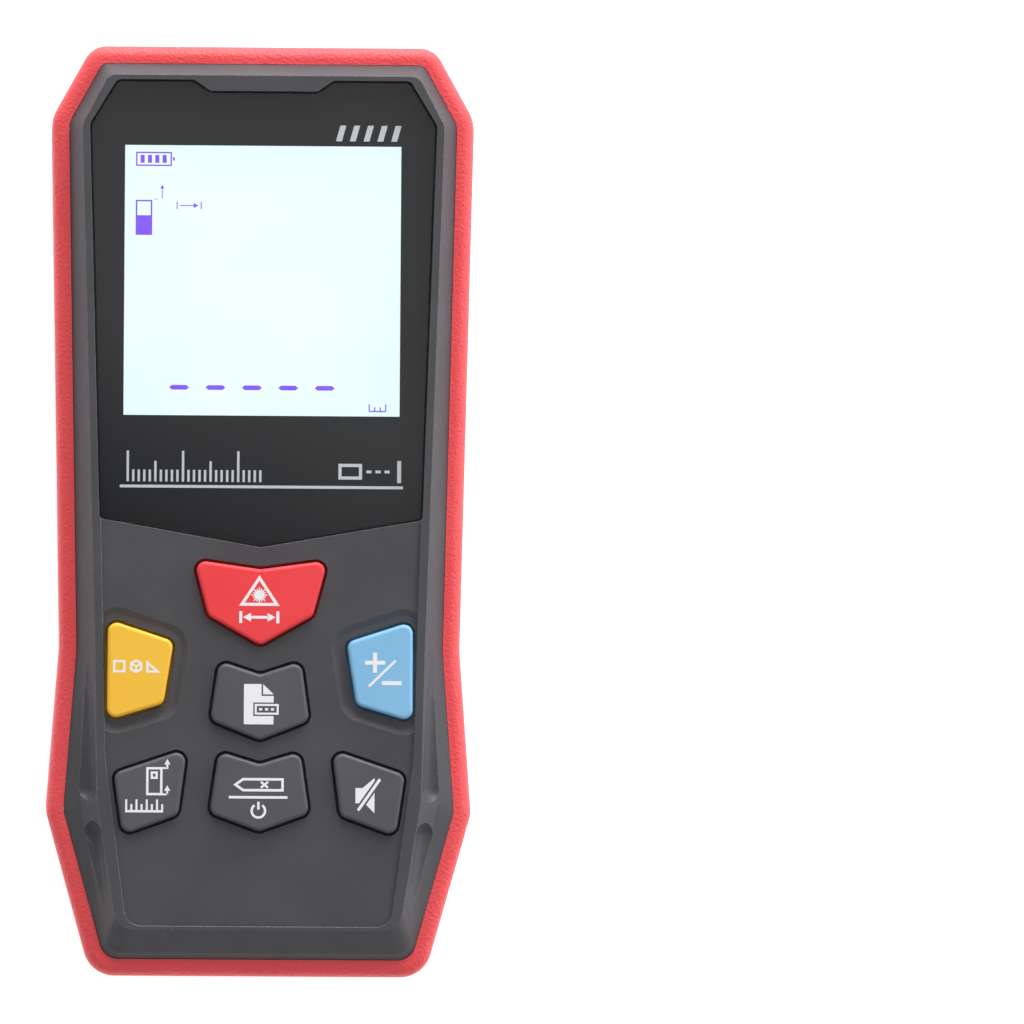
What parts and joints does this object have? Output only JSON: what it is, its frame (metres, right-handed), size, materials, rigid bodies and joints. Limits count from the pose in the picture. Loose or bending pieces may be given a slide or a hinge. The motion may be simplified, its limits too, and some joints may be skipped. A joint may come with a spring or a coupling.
{
  "type": "laser distance meter",
  "caption": "Handheld laser distance meter: two plastic shells in a soft red band, display window, shaped push keys, optics in the head and two dry cells behind a hinged door in the back.",
  "frame": {"origin": "middle of the object's box, on the plane of its back", "axes": "+Z out of the display, +Y out of the head where the laser leaves, +X to the right of someone reading the display"},
  "size_m": [0.054, 0.118, 0.028],
  "materials": {
    "front_shell": "fine spark-eroded texture",
    "rear_shell": "fine spark-eroded texture",
    "red_band": "soft satin, fine grain",
    "seal_rubber": "smooth",
    "label_film": "matt film",
    "insert_brass": "turned",
    "screw_steel": "zinc plated",
    "window_clear": "polished, black printed border",
    "black_tape": "matt",
    "foam_black": "foam",
    "lcd_cell": "polished",
    "light_guide": "clear moulded",
    "flex_film": "amber film",
    "silicone_grey": "matt silicone",
    "gold_pads": "gold plated",
    "board_green": "solder mask",
    "chip_black": "moulded",
    "passive_ceramic": "fired",
    "can_steel": "plated",
    "bezel_black": "fine texture",
    "optics_glass": "coated and polished",
    "cast_block": "die-cast, blasted",
    "ring_black": "black anodised",
    "barrel_brass": "turned",
    "cell_jacket": "printed film",
    "contact_steel": "nickel plated",
    "carbon_rubber": "matt",
    "key_red": "satin",
    "key_yellow": "satin",
    "key_blue": "satin",
    "key_grey": "satin"
  },
  "bodies": {
    "housing": {"front_cover": "front_shell", "rear_cover": "rear_shell", "bumper_band": "red_band", "housing_seal": "seal_rubber", "rear_label": "label_film", "tripod_insert": "insert_brass", "housing_screws": "screw_steel", "display_window": "window_clear", "window_tape": "black_tape", "lcd_gasket": "foam_black", "lcd_glass": "lcd_cell", "lcd_backlight": "light_guide", "lcd_flex": "flex_film", "keypad_mat": "silicone_grey", "switch_pads": "gold_pads", "main_board": "board_green", "board_screws": "screw_steel", "mcu_chip": "chip_black", "small_chips": "chip_black", "passives": "passive_ceramic", "crystal": "can_steel", "buzzer": "chip_black", "nose_bezel": "bezel_black", "optics_window": "optics_glass", "optics_block": "cast_block", "optics_screws": "screw_steel", "receiver_lens": "optics_glass", "lens_ring": "ring_black", "laser_barrel": "barrel_brass", "laser_diode": "can_steel", "collimator_lens": "optics_glass", "detector_board": "board_green", "photodiode": "can_steel", "battery_cell_left": "cell_jacket", "battery_cell_right": "cell_jacket", "positive_contact": "contact_steel", "negative_contact": "contact_steel", "bridge_contact": "contact_steel", "contact_springs": "contact_steel"},
    "dist_key": {"key_dist": "key_red", "pill_dist": "carbon_rubber"},
    "func_key": {"key_func": "key_yellow", "pill_func": "carbon_rubber"},
    "plus_minus_key": {"key_plus_minus": "key_blue", "pill_plus_minus": "carbon_rubber"},
    "log_key": {"key_log": "key_grey", "pill_log": "carbon_rubber"},
    "unit_key": {"key_unit": "key_grey", "pill_unit": "carbon_rubber"},
    "clear_key": {"key_clear": "key_grey", "pill_clear": "carbon_rubber"},
    "mute_key": {"key_mute": "key_grey", "pill_mute": "carbon_rubber"},
    "door": {"battery_door": "rear_shell", "door_latch": "rear_shell", "door_foam": "foam_black"}
  },
  "joints": [
    {"name": "dist_press", "type": "slide", "parent": "housing", "child": "dist_key", "axis": [0, 0, -1], "range_m": [0, 0.0007], "stiffness_N_per_m": 800, "springref_m": -0.0007, "deforming": ["keypad_mat"]},
    {"name": "func_press", "type": "slide", "parent": "housing", "child": "func_key", "axis": [0, 0, -1], "range_m": [0, 0.0007], "stiffness_N_per_m": 800, "springref_m": -0.0007, "deforming": ["keypad_mat"]},
    {"name": "plus_minus_press", "type": "slide", "parent": "housing", "child": "plus_minus_key", "axis": [0, 0, -1], "range_m": [0, 0.0007], "stiffness_N_per_m": 800, "springref_m": -0.0007, "deforming": ["keypad_mat"]},
    {"name": "log_press", "type": "slide", "parent": "housing", "child": "log_key", "axis": [0, 0, -1], "range_m": [0, 0.0007], "stiffness_N_per_m": 800, "springref_m": -0.0007, "deforming": ["keypad_mat"]},
    {"name": "unit_press", "type": "slide", "parent": "housing", "child": "unit_key", "axis": [0, 0, -1], "range_m": [0, 0.0007], "stiffness_N_per_m": 800, "springref_m": -0.0007, "deforming": ["keypad_mat"]},
    {"name": "clear_press", "type": "slide", "parent": "housing", "child": "clear_key", "axis": [0, 0, -1], "range_m": [0, 0.0007], "stiffness_N_per_m": 800, "springref_m": -0.0007, "deforming": ["keypad_mat"]},
    {"name": "mute_press", "type": "slide", "parent": "housing", "child": "mute_key", "axis": [0, 0, -1], "range_m": [0, 0.0007], "stiffness_N_per_m": 800, "springref_m": -0.0007, "deforming": ["keypad_mat"]},
    {"name": "battery_door_hinge", "type": "hinge", "parent": "housing", "child": "door", "pos_m": [0, -0.05155, 0.0003], "axis": [-1, 0, 0], "range_deg": [0, 60], "deforming": ["door_latch"]}
  ]
}
